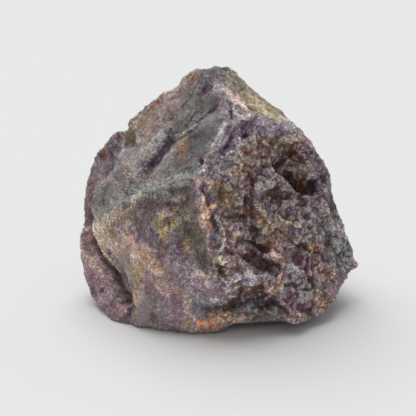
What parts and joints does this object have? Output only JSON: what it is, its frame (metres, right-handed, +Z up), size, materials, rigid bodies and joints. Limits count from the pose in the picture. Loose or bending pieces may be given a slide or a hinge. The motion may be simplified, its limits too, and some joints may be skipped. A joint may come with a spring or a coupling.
{
  "type": "rough aquamarine in fluorite stone",
  "caption": "Rough broken chunk of violet fluorite grown through with grey-green aquamarine-bearing rock, one solid stone that stands on its worn flat base.",
  "frame": {"origin": "on the floor under the middle of the stone's bounding box", "axes": "+Z up, -Y towards the viewer of the picture, +X to that viewer's right"},
  "size_m": [0.0512, 0.0354, 0.0442],
  "materials": {
    "fluorite_rock": "rough broken stone, satin on the cleaved faces and sparkling on the grainy ones"
  },
  "bodies": {
    "root": {"stone": "fluorite_rock"}
  },
  "joints": []
}
